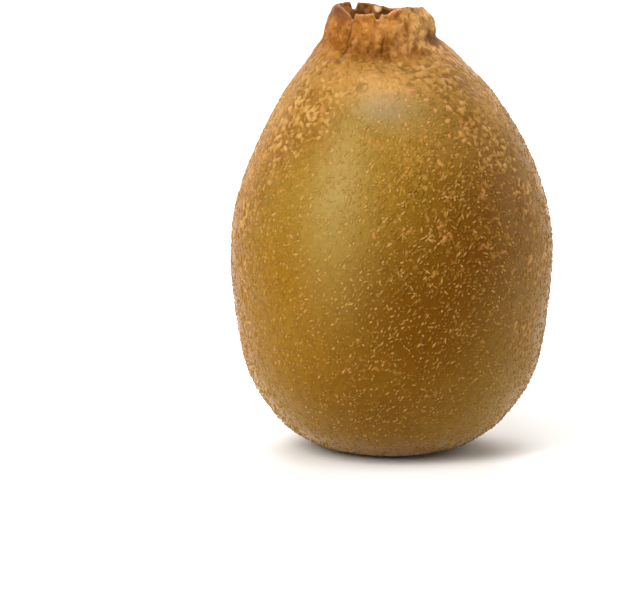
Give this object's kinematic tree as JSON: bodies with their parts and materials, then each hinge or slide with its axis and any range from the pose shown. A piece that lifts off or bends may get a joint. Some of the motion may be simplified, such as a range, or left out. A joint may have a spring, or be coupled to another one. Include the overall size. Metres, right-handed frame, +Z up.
{
  "type": "golden kiwi fruit",
  "caption": "Whole ovoid golden kiwi fruit with russet-flecked olive-brown skin and a torn, hollow dried beak, standing on its stalk end.",
  "frame": {"origin": "on the resting surface, under the middle of the fruit's bounding box", "axes": "+Z up along the fruit from its stalk end to its beak, +X along the widest girth towards the side with the thick lobe of the beak, -Y the front, where one flap of the beak laps over the other"},
  "size_m": [0.0522, 0.0498, 0.0726],
  "materials": {
    "skin": "thin satin fruit skin, olive brown and ochre, with light tan russet flecks; dried tan-orange tissue at the beak"
  },
  "bodies": {
    "root": {"kiwi_fruit": "skin"}
  },
  "joints": []
}
